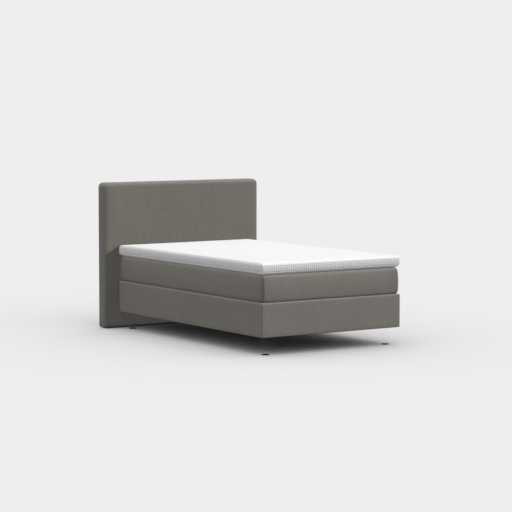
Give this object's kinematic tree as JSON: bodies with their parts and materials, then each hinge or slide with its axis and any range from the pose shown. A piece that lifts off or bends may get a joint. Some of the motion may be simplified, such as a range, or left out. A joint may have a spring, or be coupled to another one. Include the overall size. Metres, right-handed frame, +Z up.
{
  "type": "box spring bed",
  "caption": "Upholstered box spring bed with a plain headboard, clear legs, a lift-off pocket-spring mattress and a white lift-off topper.",
  "frame": {"origin": "on the floor, under the middle of the bed's outline", "axes": "+Z up; +Y from the foot end to the headboard; +X to the right side of someone who stands at the foot end and faces the headboard"},
  "size_m": [1.422, 2.132, 1.1345],
  "materials": {
    "upholstery": "matte",
    "topper_knit": "matte",
    "topper_mesh": "matte",
    "lining": "matte",
    "foam": "matte",
    "pocket_cloth": "matte",
    "felt": "matte",
    "timber": "matte",
    "board": "matte",
    "clear_acrylic": "gloss",
    "dark_glide": "matte",
    "zinc_steel": "satin"
  },
  "bodies": {
    "bed_base": {"box_bolt_left": "zinc_steel", "box_bolt_right": "zinc_steel", "box_cover": "upholstery", "box_dust_cloth": "lining", "box_foam_pad": "foam", "box_insulator_felt": "felt", "box_pocket_core": "pocket_cloth", "centre_beam": "timber", "corner_block_foot_left": "timber", "corner_block_foot_right": "timber", "corner_block_head_left": "timber", "corner_block_head_right": "timber", "foot_rail": "timber", "glide_foot_left": "dark_glide", "glide_foot_right": "dark_glide", "glide_head_left": "dark_glide", "glide_head_right": "dark_glide", "head_rail": "timber", "headboard_back_cloth": "lining", "headboard_bolt_left": "zinc_steel", "headboard_bolt_right": "zinc_steel", "headboard_bottom_rail": "timber", "headboard_bracket_left": "zinc_steel", "headboard_bracket_right": "zinc_steel", "headboard_cover": "upholstery", "headboard_foam": "foam", "headboard_front_board": "board", "headboard_glide_left": "dark_glide", "headboard_glide_right": "dark_glide", "headboard_left_stile": "timber", "headboard_middle_rail": "timber", "headboard_right_stile": "timber", "headboard_top_rail": "timber", "left_side_rail": "timber", "leg_foot_left": "clear_acrylic", "leg_foot_right": "clear_acrylic", "leg_head_left": "clear_acrylic", "leg_head_right": "clear_acrylic", "leg_stud_foot_left": "zinc_steel", "leg_stud_foot_right": "zinc_steel", "leg_stud_head_left": "zinc_steel", "leg_stud_head_right": "zinc_steel", "right_side_rail": "timber", "slat_1": "timber", "slat_2": "timber", "slat_3": "timber", "slat_4": "timber", "slat_5": "timber"},
    "mattress": {"mattress_border": "upholstery", "mattress_bottom_foam": "foam", "mattress_bottom_panel": "upholstery", "mattress_foam_border": "foam", "mattress_pocket_core": "pocket_cloth", "mattress_top_foam": "foam", "mattress_top_panel": "upholstery"},
    "topper": {"topper_border": "topper_mesh", "topper_bottom_panel": "topper_knit", "topper_core": "foam", "topper_top_panel": "topper_knit"}
  },
  "joints": [
    {"name": "mattress_lift", "type": "slide", "parent": "bed_base", "child": "mattress", "axis": [0, 0, 1], "range_m": [0, 0.3]},
    {"name": "topper_lift", "type": "slide", "parent": "mattress", "child": "topper", "axis": [0, 0, 1], "range_m": [0, 0.2]}
  ]
}
